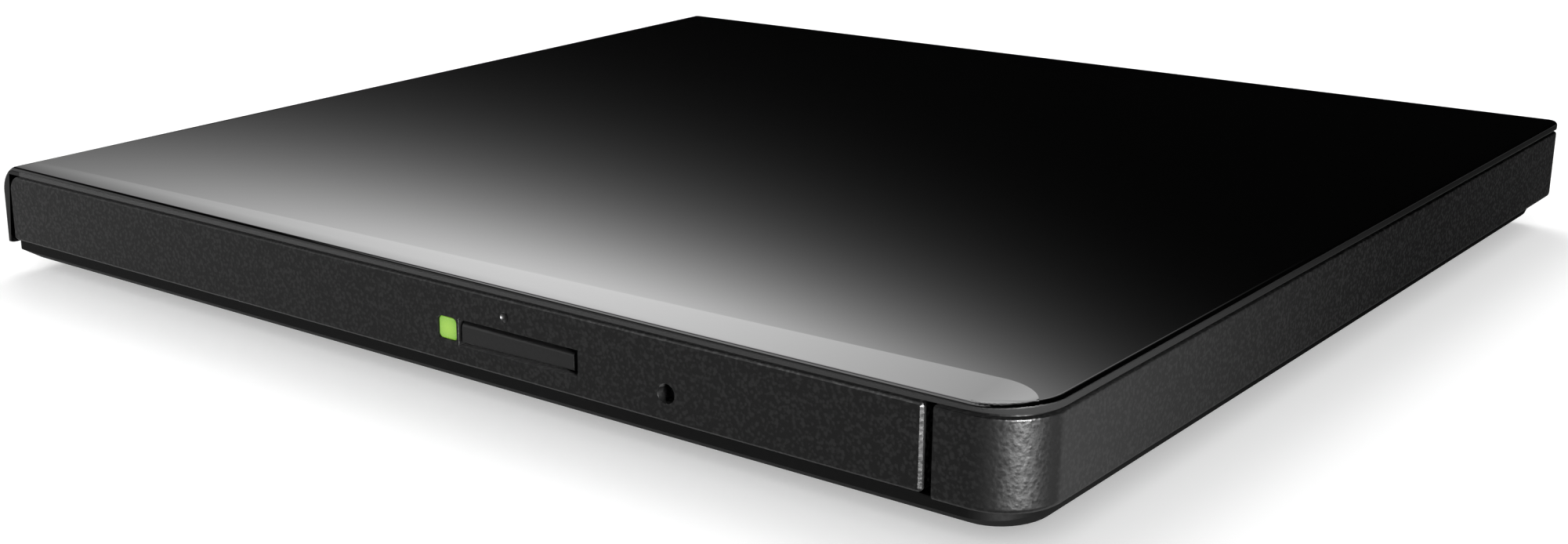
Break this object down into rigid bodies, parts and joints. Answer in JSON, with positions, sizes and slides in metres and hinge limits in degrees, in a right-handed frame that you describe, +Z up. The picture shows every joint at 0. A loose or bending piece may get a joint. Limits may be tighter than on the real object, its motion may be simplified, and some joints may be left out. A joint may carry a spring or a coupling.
{
  "type": "slim external dvd drive",
  "caption": "Slim external disc drive: flat case with a gloss cover and a sliding front tray that holds a spindle hub and a laser pickup.",
  "frame": {"origin": "centre of the bottom of the whole part, on the surface that its feet stand on", "axes": "+X right as seen from in front of the tray, +Y to the back, +Z up; the tray slides out along -Y"},
  "size_m": [0.144, 0.1376, 0.014],
  "materials": {
    "cover_gloss": "polished black with a soft bloom",
    "case_matt": "fine moulded grain",
    "pan_matt": "fine moulded grain",
    "button_plastic": "smooth satin",
    "light_window": "translucent, tinted green",
    "foot_rubber": "dull",
    "pad_foam": "closed-cell foam",
    "screw_steel": "blackened",
    "sheet_steel": "zinc plated sheet",
    "rail_steel": "rolled",
    "rail_plastic": "acetal, satin",
    "tray_plastic": "fine moulded grain",
    "frame_steel": "black zinc",
    "rod_steel": "ground and polished",
    "motor_steel": "turned",
    "bush_rubber": "soft",
    "turntable_rubber": "soft, fine ring grain",
    "hub_plastic": "moulded",
    "sled_metal": "die cast",
    "cover_sheet": "bright sheet",
    "nut_plastic": "acetal",
    "holder_plastic": "moulded",
    "lens_glass": "coated, violet tint",
    "board_green": "solder mask",
    "chip_black": "moulded epoxy",
    "connector_black": "moulded",
    "flex_film": "amber film",
    "socket_shell": "nickel plated",
    "led_body": "clear epoxy",
    "spring_steel": "drawn wire"
  },
  "bodies": {
    "root": {"top_cover": "cover_gloss", "case_body": "case_matt", "bottom_cover": "pan_matt", "rubber_feet": "foot_rubber", "case_screws": "screw_steel", "lower_pads": "pad_foam", "upper_pads": "pad_foam", "drive_chassis": "sheet_steel", "drive_top_plate": "sheet_steel", "chassis_screws": "screw_steel", "latch_post": "rail_steel", "fixed_rail_left": "rail_plastic", "fixed_rail_right": "rail_plastic", "bridge_board": "board_green", "bridge_board_chips": "chip_black", "board_screws": "screw_steel", "drive_connector": "connector_black", "bridge_connector": "connector_black", "usb_socket_shell": "socket_shell", "usb_socket_insert": "connector_black", "flex_cable": "flex_film", "eject_plunger": "rail_plastic", "eject_spring": "spring_steel"},
    "left_rail": {"slide_rail_left": "rail_steel"},
    "right_rail": {"slide_rail_right": "rail_steel"},
    "tray": {"disc_tray": "tray_plastic", "front_bezel": "case_matt", "light_pipe": "light_window", "tray_board": "board_green", "indicator_led": "led_body", "button_switch": "connector_black", "traverse_frame": "frame_steel", "damper_bushes": "bush_rubber", "traverse_screws": "screw_steel", "bottom_shield": "sheet_steel", "guide_rod_front": "rod_steel", "guide_rod_rear": "rod_steel", "spindle_motor_base": "motor_steel", "sled_motor": "motor_steel", "latch_solenoid": "motor_steel", "drive_circuit_board": "board_green", "drive_board_screws": "screw_steel", "drive_board_chips": "chip_black"},
    "spindle": {"spindle_rotor": "motor_steel", "turntable": "turntable_rubber", "hub_cap": "hub_plastic", "hub_balls": "rod_steel"},
    "pickup": {"pickup_sled": "sled_metal", "pickup_cover": "cover_sheet", "sled_nut": "nut_plastic"},
    "lens": {"lens_holder": "holder_plastic", "objective_lens": "lens_glass"},
    "lead_screw": {"lead_screw": "rod_steel"},
    "eject_button": {"eject_button": "button_plastic"},
    "latch": {"latch_lever": "nut_plastic"}
  },
  "joints": [
    {"name": "tray_slide", "type": "slide", "parent": "root", "child": "tray", "axis": [0, -1, 0], "range_m": [0, 0.127]},
    {"name": "left_rail_slide", "type": "slide", "parent": "root", "child": "left_rail", "axis": [0, -1, 0], "range_m": [0, 0.0635]},
    {"name": "right_rail_slide", "type": "slide", "parent": "root", "child": "right_rail", "axis": [0, -1, 0], "range_m": [0, 0.0635]},
    {"name": "spindle_spin", "type": "hinge", "parent": "tray", "child": "spindle", "pos_m": [-0.0032, -0.0027, 0.009], "axis": [0, 0, 1], "continuous": true},
    {"name": "pickup_slide", "type": "slide", "parent": "tray", "child": "pickup", "axis": [-0.7071, -0.7071, 0], "range_m": [0, 0.0345]},
    {"name": "lens_focus", "type": "slide", "parent": "pickup", "child": "lens", "axis": [0, 0, 1], "range_m": [-0.0003, 0.0003], "stiffness_N_per_m": 30},
    {"name": "lead_screw_spin", "type": "hinge", "parent": "tray", "child": "lead_screw", "pos_m": [-0.01211, -0.03622, 0.0066], "axis": [-0.7071, -0.7071, 0], "range_deg": [-20, 4160]},
    {"name": "eject_button_press", "type": "slide", "parent": "tray", "child": "eject_button", "axis": [0, 1, 0], "range_m": [0, 0.0006], "stiffness_N_per_m": 600, "springref_m": -0.0004},
    {"name": "latch_swing", "type": "hinge", "parent": "tray", "child": "latch", "pos_m": [0.0462, -0.06165, 0.0051], "axis": [0, 0, 1], "range_deg": [0, 20]}
  ],
  "couplings": [
    {"joint": "left_rail_slide", "follows": "tray_slide", "ratio": 0.5},
    {"joint": "right_rail_slide", "follows": "tray_slide", "ratio": 0.5},
    {"joint": "lead_screw_spin", "follows": "pickup_slide", "rad_per_m": 2094.4}
  ]
}
